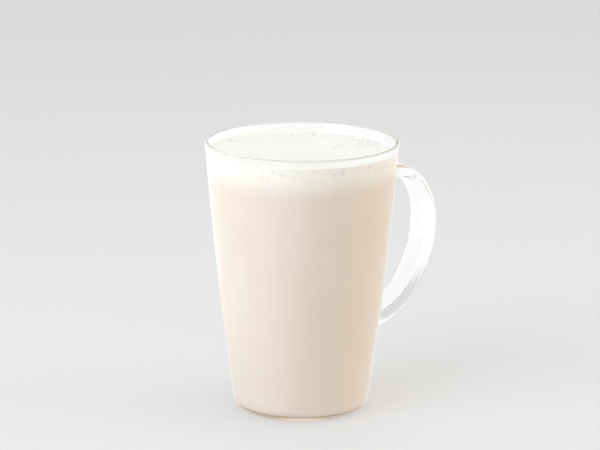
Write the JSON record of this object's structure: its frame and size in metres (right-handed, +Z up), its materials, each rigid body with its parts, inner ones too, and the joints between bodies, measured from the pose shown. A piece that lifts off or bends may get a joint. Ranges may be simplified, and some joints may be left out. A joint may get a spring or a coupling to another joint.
{
  "type": "glass of white hot chocolate",
  "caption": "Tall clear glass mug with a looped strap handle, filled with creamy white hot chocolate under a layer of milk foam.",
  "frame": {"origin": "centre of the foot's underside, on the axis of the glass", "axes": "+Z up along the glass's axis, +X towards the handle, +Y across the handle's strap"},
  "size_m": [0.1154, 0.0878, 0.124],
  "materials": {
    "clear_glass": "clear, fire-polished borosilicate glass",
    "white_chocolate": "creamy ivory liquid, opaque, glossy against the glass",
    "milk_foam": "white milk foam, matte, with fine and larger bubbles"
  },
  "bodies": {
    "root": {"mug_glass": "clear_glass", "drink": "white_chocolate", "milk_foam": "milk_foam"}
  },
  "joints": []
}
